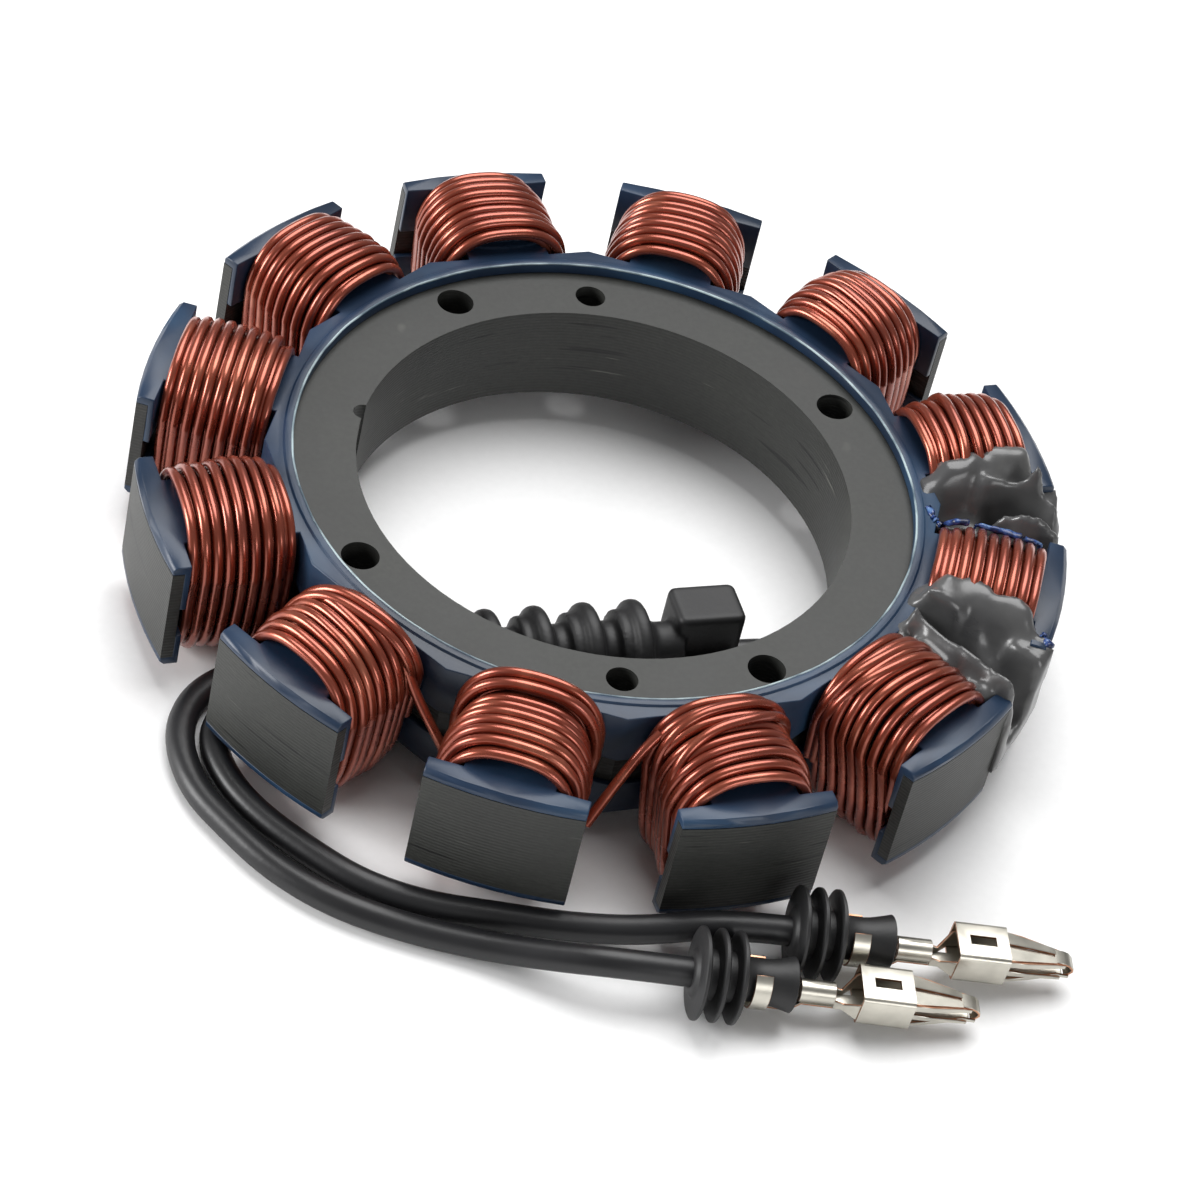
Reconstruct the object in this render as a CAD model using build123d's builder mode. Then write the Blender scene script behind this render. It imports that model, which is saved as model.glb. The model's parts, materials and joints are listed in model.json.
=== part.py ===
"""Wound stator of an outer-rotor alternator: a laminated twelve-pole core, two moulded
insulators, twelve copper coils, potted joints, a ribbed grommet and two terminated leads.

Millimetres, +Z up. The origin is on the bore axis at the core's lower face. Pole 5 points
along +X, and the poles are numbered clockwise seen from above.
"""
import os
from math import cos, radians, sin, sqrt, tan

from build123d import *

# Core
pole_count = 12
stack_height = 14.0
outer_radius = 59.5
bore_radius = 31.7
yoke_corner_radius = 42.3
tooth_width = 9.5
shoe_width = 19.7
shoe_end_thickness = 1.5
mount_hole_radius = 2.4
mount_hole_count = 4
rivet_inset = 0.9
rivet_hole_radius = 2.0
notch_radius = 1.3
overlap = 0.4

# Insulators
cap_thickness = 1.2
lip_height = 0.3
lip_width = 1.2
band_inner_radius = 39.7
yoke_liner = 1.0
tooth_liner = 0.8
upper_skirt = 6.0
lower_skirt = 3.6
rim_chamfer = 0.5

# Coils
turns = 9
winding_build = 4.0
winding_side = 3.7
bend_radius = 7.0
bend_facets = 2
groove_depth = 0.55
first_turn_step = 1.2
yoke_gap = 0.25
crossover_radius = 0.75
crossover_room = 1.6
touch_clearance = 0.05

# Potting
potting_cover = 0.9
potting_outer = 60.6
potting_inner = 41.2
potting_edge = 0.8
potting_foot = 0.4

# Leads, grommet, seals and terminals
lead_radius = 1.8
lead_spacing = 3.8
lip_radius = 6.2
shoulder_radius = 5.0
valley_radius = 3.7
neck_radius = 3.1
rib_count = 4
rib_pitch = 6.4
ridge_width = 1.6
grommet_place = (-8.0, -23.6)
grommet_angle = 27.5
head_length = 9.0
head_width = 6.6
head_height = 11.6
head_foot_width = 10.4
head_foot_height = 4.6
neck_length = 5.0
head_fillet = 1.0
tail_drop_length = 9.0
seal_radius = 5.6
seal_core_radius = 3.3
seal_rib_count = 3
seal_rib_pitch = 2.15
seal_rib_width = 1.1
seal_tail_length = 6.0
seal_tail_radius = 3.0
sheet = 0.4
wing_length = 2.2
crimp_width = 2.2
crimp_height = 2.6
crimp_length = 5.3
step_length = 1.6
sleeve_gap = 2.6
sleeve_width = 6.0
sleeve_height = 4.6
sleeve_length = 6.4
window_length = 2.8
window_width = 1.6
beam_length = 8.6
beam_height = 2.4
beam_root = 1.9

# Sizes that follow from those above
pole_step = 360 / pole_count
top_face = stack_height + cap_thickness
bottom_face = -cap_thickness
yoke_flat = yoke_corner_radius * cos(radians(pole_step / 2))
ring_middle = (bore_radius + yoke_flat) / 2
shoe_half = shoe_width / 2
shoe_end_outer = sqrt(outer_radius**2 - shoe_half**2)
shoe_inner = shoe_end_outer - shoe_end_thickness
coil_start = yoke_flat + yoke_liner + yoke_gap
coil_end = shoe_inner - tooth_liner
turn_pitch = (coil_end - coil_start) / turns
window_half = tooth_width / 2 + tooth_liner
coil_half = window_half + winding_side
crossover_start = max(coil_start, (coil_half + crossover_room) / sin(radians(pole_step / 2)))
coil_top = top_face + winding_build
floor = bottom_face - winding_build
lead_height = floor + lead_radius
grommet_axis = floor + lip_radius


def pole_angle(number):
    """Return the angle of pole 1 to 12 about the bore axis."""
    return (5 - number) * pole_step


def cross_plane(angle, along):
    """Return a plane square to a tooth: local x is sideways and local y is +Z."""
    a = radians(angle)
    return Plane(origin=(along * cos(a), along * sin(a), 0), x_dir=(-sin(a), cos(a), 0),
                 z_dir=(cos(a), sin(a), 0))


def stator_plan(corner_radius, web_width, inner_flat):
    """Draw the yoke polygon with its teeth and shoes in the current sketch."""
    corners = [radians(pole_step * (i + 0.5)) for i in range(pole_count)]
    Polygon(*[(corner_radius * cos(a), corner_radius * sin(a)) for a in corners], align=None)
    web_start = corner_radius * cos(radians(pole_step / 2)) - overlap
    web_end = inner_flat + overlap
    shoe_end = outer_radius + overlap
    with PolarLocations(0, pole_count):
        with Locations(((web_start + web_end) / 2, 0)):
            Rectangle(web_end - web_start, web_width)
        with Locations(((inner_flat + shoe_end) / 2, 0)):
            Rectangle(shoe_end - inner_flat, shoe_width)
    Circle(outer_radius, mode=Mode.INTERSECT)


# Laminated core with its bore, mounting holes, rivet holes and locating notch
with BuildPart() as core:
    with BuildSketch():
        stator_plan(yoke_corner_radius, tooth_width, shoe_inner)
        Circle(bore_radius, mode=Mode.SUBTRACT)
        with PolarLocations(ring_middle, mount_hole_count, start_angle=45):
            Circle(mount_hole_radius, mode=Mode.SUBTRACT)
        with PolarLocations(ring_middle - rivet_inset, 2, start_angle=pole_step * 3.5):
            Circle(rivet_hole_radius, mode=Mode.SUBTRACT)
        with Locations((-bore_radius, 0)):
            Circle(notch_radius, mode=Mode.SUBTRACT)
    extrude(amount=stack_height)
core.part.label = "stator_core"


def insulator(name, face, outwards, skirt):
    """Make one moulded insulator on the core face at a height, opening outwards up or down."""
    cap_side = face + outwards * cap_thickness
    with BuildPart() as shell:
        with BuildSketch(Plane.XY.offset(face - outwards * skirt)):
            stator_plan(yoke_corner_radius + yoke_liner, window_half * 2, coil_end)
        extrude(amount=outwards * (skirt + cap_thickness))
        rim = shell.edges().filter_by_position(Axis.Z, cap_side - 0.01, cap_side + 0.01)
        outer_rim = rim.filter_by(lambda e: (e @ 0.5).X**2 + (e @ 0.5).Y**2 > shoe_end_outer**2)
        chamfer(outer_rim, rim_chamfer)
        with BuildSketch(Plane.XY.offset(face)):
            stator_plan(yoke_corner_radius, tooth_width, shoe_inner)
        extrude(amount=-outwards * (skirt + 1), mode=Mode.SUBTRACT)
        with BuildSketch(Plane.XY.offset(cap_side)):
            Circle(band_inner_radius + lip_width)
        extrude(amount=outwards * lip_height)
        with BuildSketch(Plane.XY.offset(face - outwards)):
            Circle(band_inner_radius)
        extrude(amount=outwards * (cap_thickness + lip_height + 2), mode=Mode.SUBTRACT)
    shell.part.label = name
    return shell.part


def winding_outline(inset):
    """Return the corners of a turn's outer outline, pulled in by an inset."""
    half = coil_half - inset
    top = coil_top - inset
    bottom = floor + inset
    bend = bend_radius - inset
    corners = []
    for quarter, (x, z) in enumerate(((half - bend, top - bend), (bend - half, top - bend),
                                      (bend - half, bottom + bend), (half - bend, bottom + bend))):
        for step in range(bend_facets + 1):
            a = radians(90 * (quarter + step / bend_facets))
            corners.append((x + bend * cos(a), z + bend * sin(a)))
    return corners


def coil(number):
    """Wind one coil: a ridge for each turn of the outer layer, open round the tooth."""
    angle = pole_angle(number)
    with BuildPart() as winding:
        for half_turn in range(2 * turns + 1):
            along = coil_start + half_turn * turn_pitch / 2
            inset = groove_depth if half_turn % 2 == 0 else 0.0
            if half_turn < 2:
                inset += first_turn_step
            with BuildSketch(cross_plane(angle, along)):
                with BuildLine():
                    Polyline(*winding_outline(inset), close=True)
                make_face()
        loft(ruled=True)
        with BuildSketch(cross_plane(angle, coil_start - 1)):
            with Locations((0, (top_face + bottom_face) / 2)):
                Rectangle(2 * window_half, top_face - bottom_face)
        extrude(amount=coil_end - coil_start + 2, mode=Mode.SUBTRACT)
    winding.part.label = f"coil_{number:02d}"
    return winding.part


def coil_envelope(number):
    """Return the plain block that a coil fills, for cutting the potting round it."""
    with BuildPart() as block:
        with BuildSketch(cross_plane(pole_angle(number), coil_start - touch_clearance)):
            with BuildLine():
                Polyline(*winding_outline(-touch_clearance), close=True)
            make_face()
        extrude(amount=coil_end - coil_start + 2 * touch_clearance)
    return block.part


def potting(name, angle, outline, top):
    """Make the resin between two coils, cast round the insulators and the windings."""
    envelopes = [coil_envelope(number) for number in (4, 5, 6)]
    with BuildPart() as resin:
        with BuildSketch(Plane.XY.offset(floor + potting_foot).rotated((0, 0, angle))):
            with BuildLine():
                Polyline(*outline, close=True)
            make_face()
        extrude(amount=top - floor - potting_foot)
        upper = resin.edges().group_by(Axis.Z)[-1]
        chamfer(upper, potting_edge)
        add(envelopes, mode=Mode.SUBTRACT)
        with BuildSketch(Plane.XY.offset(bottom_face - lip_height)):
            Circle(yoke_corner_radius + yoke_liner + 0.2)
        extrude(amount=top_face - bottom_face + 2 * lip_height, mode=Mode.SUBTRACT)
        with BuildSketch(Plane.XY.offset(bottom_face)):
            stator_plan(yoke_corner_radius + yoke_liner, window_half * 2, coil_end)
        extrude(amount=top_face - bottom_face, mode=Mode.SUBTRACT)
    resin.part.label = name
    return resin.part


def tube(name, points, radius):
    """Sweep a plain round cord or wire along straight runs joined by the largest arcs."""
    route = [Vector(*p) for p in points]
    runs = [b - a for a, b in zip(route, route[1:])]
    radii = []
    for before, after in zip(runs, runs[1:]):
        turn = radians(before.get_angle(after))
        radii.append(0.45 * min(before.length, after.length) / tan(turn / 2))
    print(name, "bend radii", [round(r, 1) for r in radii])
    with BuildPart() as cord:
        with BuildLine():
            FilletPolyline(*route, radius=radii)
        with BuildSketch(Plane(origin=route[0], z_dir=runs[0])):
            Circle(radius)
        sweep()
    cord.part.label = name
    return cord.part


def ribbed_profile(first, count, pitch, rib, core_radius, ridge):
    """Return the outline points of a row of ribs, each a ridge over a narrower core."""
    points = []
    for i in range(count):
        centre = first + i * pitch
        points += [(centre - ridge * 0.8, core_radius), (centre - ridge * 0.4, rib),
                   (centre + ridge * 0.4, rib), (centre + ridge * 0.8, core_radius)]
    return points


# Ribbed grommet on the floor inside the bore, with its moulded head and its lead boot
across = radians(grommet_angle)
grommet_line = Vector(cos(across), sin(across), 0)
grommet_side = Vector(-sin(across), cos(across), 0)
rib_one = Vector(*grommet_place, grommet_axis)
last_rib = (rib_count - 1) * rib_pitch
head_start = last_rib + neck_length
head_end = head_start + head_length
boot_end = -tail_drop_length
ribs = []
for i in range(rib_count):
    crest = i * rib_pitch
    ribs += [(crest - 3.0, valley_radius), (crest - 2.6, shoulder_radius),
             (crest - 1.4, shoulder_radius), (crest - ridge_width / 2, lip_radius - 0.2),
             (crest, lip_radius), (crest + ridge_width / 2, lip_radius - 0.2),
             (crest + 1.8, valley_radius)]
with BuildPart() as grommet:
    with BuildSketch(Plane(origin=rib_one, x_dir=grommet_line, z_dir=-grommet_side)):
        with BuildLine():
            Polyline((-3.0, 0), *ribs, (last_rib + 2.6, neck_radius),
                     (head_start + 1, neck_radius), (head_start + 1, 0), close=True)
        make_face()
    revolve(axis=Axis(rib_one, grommet_line))
    head_floor = rib_one + grommet_line * head_start
    head_floor.Z = floor
    with BuildSketch(Plane(origin=head_floor, x_dir=grommet_line, z_dir=(0, 0, 1))):
        with Locations((head_length / 2, 0)):
            RectangleRounded(head_length, head_foot_width, head_fillet)
    extrude(amount=head_foot_height)
    with BuildSketch(Plane(origin=head_floor, x_dir=grommet_line, z_dir=(0, 0, 1))):
        with Locations((head_length / 2, (head_foot_width - head_width) / 2)):
            RectangleRounded(head_length, head_width, head_fillet)
    extrude(amount=head_height)
    head_top = floor + head_height
    chamfer(grommet.edges().filter_by_position(Axis.Z, head_top, head_top), head_fillet / 2)
    with BuildSketch(Plane(origin=rib_one - grommet_line * 2.9, x_dir=-grommet_side,
                           z_dir=-grommet_line)):
        Circle(valley_radius - 0.2)
    boot_floor = rib_one + grommet_line * boot_end
    boot_floor.Z = lead_height
    with BuildSketch(Plane(origin=boot_floor, x_dir=-grommet_side, z_dir=-grommet_line)):
        SlotOverall(lead_spacing + 2 * lead_radius, 2 * lead_radius)
    loft()
grommet.part.label = "grommet"


def lead_exit(along, side):
    """Return the point on the floor line where a lead leaves the grommet."""
    p = rib_one + grommet_line * along + grommet_side * (side * lead_spacing / 2)
    return (p.X, p.Y, lead_height)


def slot_point(angle, outwards, sideways, height=lead_height):
    """Return a point in the slot at an angle."""
    a = radians(angle)
    return (outwards * cos(a) - sideways * sin(a), outwards * sin(a) + sideways * cos(a), height)


# Lead routes, each a list of points chosen along the photograph's curve
outer_route = [
    lead_exit(boot_end, 1), lead_exit(boot_end - 3.9, 1), (-25.2, -27.0, lead_height),
    (-30.7, -28.2, lead_height), (-36.5, -32.8, lead_height), (-40.9, -38.9, lead_height),
    (-41.1, -46.4, lead_height), (-36.8, -54.0, lead_height), (-30.8, -58.6, lead_height),
    (-24.4, -62.8, lead_height), (-16.6, -65.6, lead_height), (-7.9, -66.4, lead_height),
    (1.0, -66.2, lead_height + 0.3), (9.9, -66.6, lead_height + 2.3),
    (18.5, -66.8, lead_height + 4.7), (26.2, -64.8, lead_height + 4.2),
]
inner_route = [
    lead_exit(boot_end, -1), lead_exit(boot_end - 3.7, -1), (-22.6, -31.4, lead_height),
    (-28.0, -31.3, lead_height), (-33.2, -34.9, lead_height), (-36.8, -40.0, lead_height),
    (-36.9, -45.9, lead_height), (-33.3, -51.4, lead_height), (-28.2, -55.5, lead_height),
    (-21.4, -58.8, lead_height), (-14.2, -61.6, lead_height), (-6.0, -62.2, lead_height),
    (2.6, -60.7, lead_height), (11.4, -59.5, lead_height + 0.3),
    (19.9, -58.7, lead_height + 2.3), (28.2, -56.4, lead_height + 4.7),
    (36.3, -54.2, lead_height + 4.2),
]
potted_slot = -pole_step / 2
tail_a_route = [
    lead_exit(head_end, 1), lead_exit(head_end + 4.2, 1), (28.3, -3.6, lead_height),
    (32.2, -5.2, lead_height), slot_point(potted_slot, potting_inner - 4.3, lead_spacing / 2),
    slot_point(potted_slot, potting_inner, lead_spacing / 2),
]
tail_b_route = [
    lead_exit(head_end, -1), lead_exit(head_end + 3.6, -1), (28.4, -7.7, lead_height),
    (31.6, -9.3, lead_height), slot_point(potted_slot, potting_inner - 4.2, -lead_spacing / 2),
    slot_point(potted_slot, potting_inner, -lead_spacing / 2),
]


def seal(name, route):
    """Make a ribbed wire seal on the end of a lead, with the sleeve that the crimp grips."""
    start = Vector(*route[-1])
    line = (start - Vector(*route[-2])).normalized()
    level = Vector(-line.Y, line.X, 0).normalized()
    rib_length = seal_rib_count * seal_rib_pitch
    ribs_out = ribbed_profile(seal_rib_pitch / 2, seal_rib_count, seal_rib_pitch, seal_radius,
                              seal_core_radius, seal_rib_width)
    with BuildPart() as moulding:
        with BuildSketch(Plane(origin=start, x_dir=line, z_dir=level)):
            with BuildLine():
                Polyline((0, 0), (0, seal_core_radius), *ribs_out,
                         (rib_length, seal_core_radius), (rib_length, seal_tail_radius),
                         (rib_length + seal_tail_length, seal_tail_radius),
                         (rib_length + seal_tail_length, 0), close=True)
            make_face()
        revolve(axis=Axis(start, line))
    moulding.part.label = name
    return moulding.part


def terminal(route, side):
    """Form a crimp terminal in line with a lead: its sheet-metal body and its box sleeve."""
    line = (Vector(*route[-1]) - Vector(*route[-2])).normalized()
    level = Vector(-line.Y, line.X, 0).normalized()
    upwards = line.cross(level)
    tail_end = Vector(*route[-1]) + line * (seal_rib_count * seal_rib_pitch + seal_tail_length)
    base = -sleeve_height / 2 + sheet
    wing_outer = seal_tail_radius + touch_clearance + sheet
    wing_start = -seal_tail_length + 0.6
    sleeve_start = crimp_length + sleeve_gap
    sleeve_end = sleeve_start + sleeve_length
    with BuildPart() as body:
        with BuildSketch(Plane(origin=tail_end - level * (crimp_width / 2), x_dir=line,
                               z_dir=-level)):
            with BuildLine():
                Polyline((wing_start, -wing_outer), (sheet, -wing_outer), (step_length, base),
                         (sleeve_end, base), (sleeve_end, base + sheet),
                         (step_length, base + sheet), (touch_clearance, sheet - wing_outer),
                         (wing_start, sheet - wing_outer), close=True)
            make_face()
        extrude(amount=-crimp_width)
        with BuildSketch(Plane(origin=tail_end + line * wing_start, x_dir=level, z_dir=line)):
            Circle(wing_outer)
            Circle(wing_outer - sheet, mode=Mode.SUBTRACT)
        extrude(amount=wing_length)
        crimp_floor = tail_end + upwards * base + line * step_length
        with BuildSketch(Plane(origin=crimp_floor, x_dir=level, z_dir=line)):
            with Locations((0, crimp_height / 2)):
                RectangleRounded(crimp_width, crimp_height, crimp_width / 3)
        extrude(amount=crimp_length - step_length)
        with BuildSketch(Plane(origin=tail_end + upwards * base, x_dir=line, z_dir=upwards)):
            for turn in (-1, 1):
                Polygon((sleeve_start, turn * beam_root), (sleeve_end, turn * beam_root),
                        (sleeve_end + beam_length, turn * sheet),
                        (sleeve_end + beam_length, turn * 0.05),
                        (sleeve_end, turn * (beam_root - 2 * sheet)),
                        (sleeve_start, turn * (beam_root - 2 * sheet)), align=None)
            with Locations(((sleeve_start + sleeve_end) / 2, 0)):
                Rectangle(sleeve_length, 2 * beam_root)
        extrude(amount=sheet)
        with BuildSketch(Plane(origin=tail_end + upwards * (base + sheet), x_dir=line,
                               z_dir=upwards)):
            for turn in (-1, 1):
                Polygon((sleeve_start, turn * beam_root), (sleeve_end, turn * beam_root),
                        (sleeve_end + beam_length, turn * sheet),
                        (sleeve_end + beam_length, turn * 0.05),
                        (sleeve_end, turn * (beam_root - sheet)),
                        (sleeve_start, turn * (beam_root - sheet)), align=None)
        extrude(amount=beam_height)
    with BuildPart() as sleeve:
        with BuildSketch(Plane(origin=tail_end + line * sleeve_start, x_dir=level, z_dir=line)):
            Rectangle(sleeve_width, sleeve_height)
            Rectangle(sleeve_width - 2 * sheet, sleeve_height - 2 * sheet, mode=Mode.SUBTRACT)
        extrude(amount=sleeve_length)
        window_centre = tail_end + line * (sleeve_start + sleeve_length / 2)
        with BuildSketch(Plane(origin=window_centre, x_dir=line, z_dir=upwards)):
            Rectangle(window_length, window_width)
        extrude(amount=sleeve_height, mode=Mode.SUBTRACT)
    body.part.label = f"terminal_{side}"
    sleeve.part.label = f"sleeve_{side}"
    return [body.part, sleeve.part]


# Resin outlines in their slot: outwards from the bore axis, and sideways
between_4_and_5 = [(42.6, -3.5), (42.6, 4.0), (46.0, 9.0), (52.5, 12.5), (57.0, 11.0),
                   (potting_outer, 5.5), (potting_outer, -5.0), (56.0, -8.5), (50.0, -7.0),
                   (45.0, -5.0)]
between_5_and_6 = [(potting_inner, -4.0), (potting_inner, 4.0), (45.0, 7.5), (50.0, 10.5),
                   (56.5, 11.0), (potting_outer, 5.5), (potting_outer, -5.0), (56.0, -7.5),
                   (50.0, -6.5), (45.0, -5.5)]

# Crossover wires in the slots beside pole 8, each from its upper coil to its lower one
left_slot = pole_angle(8) - pole_step / 2
right_slot = pole_angle(8) + pole_step / 2
crossovers = {
    "crossover_a": [slot_point(left_slot, crossover_start + 2.5, -1.55, 11.0),
                    slot_point(left_slot, crossover_start + 3.5, -0.95, 7.6),
                    slot_point(left_slot, crossover_start + 4.5, 0.9, 4.2),
                    slot_point(left_slot, crossover_start + 5.5, 2.35, 0.9)],
    "crossover_b": [slot_point(right_slot, crossover_start + 4.0, 1.95, 12.0),
                    slot_point(right_slot, crossover_start + 6.5, 0.15, 9.0),
                    slot_point(right_slot, crossover_start + 9.3, -2.2, 5.8),
                    slot_point(right_slot, crossover_start + 12.5, -4.25, 3.2)],
}

pieces = [core.part, grommet.part]
pieces.append(insulator("upper_insulator", stack_height, 1, upper_skirt))
pieces.append(insulator("lower_insulator", 0.0, -1, lower_skirt))
pieces += [coil(number) for number in range(1, pole_count + 1)]
pieces += [tube(name, route, crossover_radius) for name, route in crossovers.items()]
pieces.append(potting("potting_a", pole_step / 2, between_4_and_5, coil_top + potting_cover))
pieces.append(potting("potting_b", -pole_step / 2, between_5_and_6, coil_top + potting_cover))
pieces += [tube("tail_a", tail_a_route, lead_radius), tube("tail_b", tail_b_route, lead_radius)]
for side, route in (("outer", outer_route), ("inner", inner_route)):
    pieces.append(tube(f"lead_{side}", route, lead_radius))
    pieces.append(seal(f"seal_{side}", route))
    pieces += terminal(route, side)

os.makedirs("parts", exist_ok=True)
for piece in pieces:
    export_step(piece, f"parts/{piece.label}.step")
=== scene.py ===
"""Wound stator in Blender 4.5, dressed over the CAD frame.

The script is laid out as an add-on and is run as a script. Each operator makes one piece or
one group of like pieces, in metres, in the frame's own coordinates: the origin is on the bore
axis at the core's lower face, and pole 5 points along +X.
"""
import json
import random
from math import cos, pi, radians, sin

import bmesh
import bpy
from bpy.props import FloatProperty, FloatVectorProperty, IntProperty, PointerProperty
from mathutils import Matrix, Vector, noise


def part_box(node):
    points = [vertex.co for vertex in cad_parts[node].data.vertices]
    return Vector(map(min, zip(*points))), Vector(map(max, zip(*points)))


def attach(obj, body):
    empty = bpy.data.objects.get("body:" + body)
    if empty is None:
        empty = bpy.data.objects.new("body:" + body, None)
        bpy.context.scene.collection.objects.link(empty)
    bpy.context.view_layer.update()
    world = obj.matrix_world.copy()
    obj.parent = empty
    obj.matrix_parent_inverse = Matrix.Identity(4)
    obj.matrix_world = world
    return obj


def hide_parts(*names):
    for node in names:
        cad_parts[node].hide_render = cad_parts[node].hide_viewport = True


bl_info = {
    "name": "Wound stator",
    "version": (1, 0, 0),
    "blender": (4, 5, 0),
    "location": "View3D > Sidebar > Stator",
    "description": "Models a wound stator with potted joints and terminated leads",
    "category": "Add Mesh",
}

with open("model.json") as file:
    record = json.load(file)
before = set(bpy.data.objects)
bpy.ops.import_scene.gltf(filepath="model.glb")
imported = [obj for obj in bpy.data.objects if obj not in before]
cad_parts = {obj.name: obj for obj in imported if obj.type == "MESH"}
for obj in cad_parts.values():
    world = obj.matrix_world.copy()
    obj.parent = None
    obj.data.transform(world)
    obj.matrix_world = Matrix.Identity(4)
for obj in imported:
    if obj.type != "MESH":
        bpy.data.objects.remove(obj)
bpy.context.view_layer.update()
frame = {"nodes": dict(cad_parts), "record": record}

MM = 0.001
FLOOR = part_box("coil_08")[0][2]
COIL_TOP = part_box("coil_08")[1][2]
COIL_MIDDLE = (COIL_TOP + FLOOR) / 2
COIL_HALF_HEIGHT = (COIL_TOP - FLOOR) / 2
COIL_INNER = 42.35 * MM
COIL_OUTER = 56.1 * MM
COIL_HALF = 9.25 * MM
POLE_STEP = 30.0
SHEET = 0.5 * MM
LEAD_HEIGHT = FLOOR + 1.8 * MM


def pole_angle(number):
    """Return the angle of a pole about the bore axis, in radians."""
    return radians((5 - number) * POLE_STEP)


def linear(hex_colour):
    """Turn an sRGB hex colour into Blender's linear colour."""
    channels = []
    for place in (1, 3, 5):
        value = int(hex_colour[place:place + 2], 16) / 255
        channels.append(value / 12.92 if value <= 0.04045 else ((value + 0.055) / 1.055)**2.4)
    return (*channels, 1.0)


class StatorSizes(bpy.types.PropertyGroup):
    """Sizes of the wound parts."""

    wire_radius: FloatProperty(name="Wire radius", description="Radius of the magnet wire over its enamel",
                               default=0.655 * MM, unit="LENGTH")
    coil_turns: IntProperty(name="Turns", description="Turns in a coil's outer layer",
                            default=9, min=5, max=12)
    lead_radius: FloatProperty(name="Lead radius", description="Radius of a lead over its jacket",
                               default=1.8 * MM, unit="LENGTH")
    resin_voxel: FloatProperty(name="Resin grain", description="Smallest form in the poured resin",
                               default=0.5 * MM, unit="LENGTH")


class StatorColours(bpy.types.PropertyGroup):
    """Colours of the main finishes."""

    copper: FloatVectorProperty(name="Copper enamel", description="Colour of the enamelled wire", size=4,
                                subtype="COLOR", default=linear("#964631"), min=0, max=1)
    insulator: FloatVectorProperty(name="Insulator", description="Colour of the moulded insulators", size=4,
                                   subtype="COLOR", default=linear("#1c2e45"), min=0, max=1)
    steel: FloatVectorProperty(name="Core", description="Colour of the coated laminations", size=4,
                               subtype="COLOR", default=linear("#2a2b28"), min=0, max=1)


# Materials


def add_node(tree, kind, inputs=None, **settings):
    """Add a shader node with its settings, and link or set each named input."""
    made = tree.nodes.new(kind)
    for name, value in settings.items():
        setattr(made, name, value)
    for name, value in (inputs or {}).items():
        if isinstance(value, bpy.types.NodeSocket):
            tree.links.new(value, made.inputs[name])
        else:
            made.inputs[name].default_value = value
    return made


def start_material(name):
    """Return a new material, its node tree, its shader and its object coordinates."""
    material = bpy.data.materials.new(name)
    material.use_nodes = True
    tree = material.node_tree
    shader = tree.nodes["Principled BSDF"]
    coordinates = add_node(tree, "ShaderNodeTexCoord")
    return material, tree, shader, coordinates.outputs["Object"]


def set_ramp(ramp, stops):
    """Give a colour ramp its stops, each a position and a hex or a linear colour."""
    band = ramp.color_ramp
    while len(band.elements) < len(stops):
        band.elements.new(0.5)
    for element, (position, colour) in zip(band.elements, stops):
        element.position = position
        element.color = linear(colour) if isinstance(colour, str) else colour


def dress(name, stops, patterns, rough, relief=None, constants=None):
    """Return a new material whose colour follows a noise through a ramp. Its roughness is one
    value, or runs between two with the same noise or its own, and its relief is a strength and a
    depth in metres. Each noise is a scale, a detail and a distortion."""
    material, tree, shader, place = start_material(name)
    fields = {}
    for part, (scale, detail, distortion) in patterns.items():
        made = add_node(tree, "ShaderNodeTexNoise", {"Vector": place, "Scale": scale, "Detail": detail,
                                                     "Distortion": distortion})
        fields[part] = made.outputs["Fac"]
    tint = add_node(tree, "ShaderNodeValToRGB", {"Fac": fields["colour"]})
    set_ramp(tint, stops)
    tree.links.new(tint.outputs["Color"], shader.inputs["Base Color"])
    if isinstance(rough, tuple):
        gloss = add_node(tree, "ShaderNodeMapRange", {"Value": fields.get("rough", fields["colour"]),
                                                      "To Min": rough[0], "To Max": rough[1]})
        tree.links.new(gloss.outputs["Result"], shader.inputs["Roughness"])
    else:
        shader.inputs["Roughness"].default_value = rough
    if relief:
        bump = add_node(tree, "ShaderNodeBump", {"Height": fields.get("relief", fields["colour"]),
                                                 "Strength": relief[0], "Distance": relief[1]})
        tree.links.new(bump.outputs["Normal"], shader.inputs["Normal"])
    for socket, value in (constants or {}).items():
        shader.inputs[socket].default_value = value
    return material


def enamelled_copper():
    """Polyurethane-enamelled copper wire: red-brown clear coat, glossy, rubbed paler on crests."""
    copper = tuple(bpy.context.scene.stator_colours.copper)
    return dress("enamelled_copper_wire", [(0.3, "#8a4030"), (0.55, copper), (0.8, "#b46a52")],
                 {"colour": (180.0, 4.0, 0.0), "rough": (400.0, 1.0, 0.0), "relief": (260.0, 1.0, 0.0)},
                 rough=(0.24, 0.32), relief=(0.1, 0.3 * MM),
                 constants={"Metallic": 0.72, "Coat Weight": 0.6, "Coat Roughness": 0.22})


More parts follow.
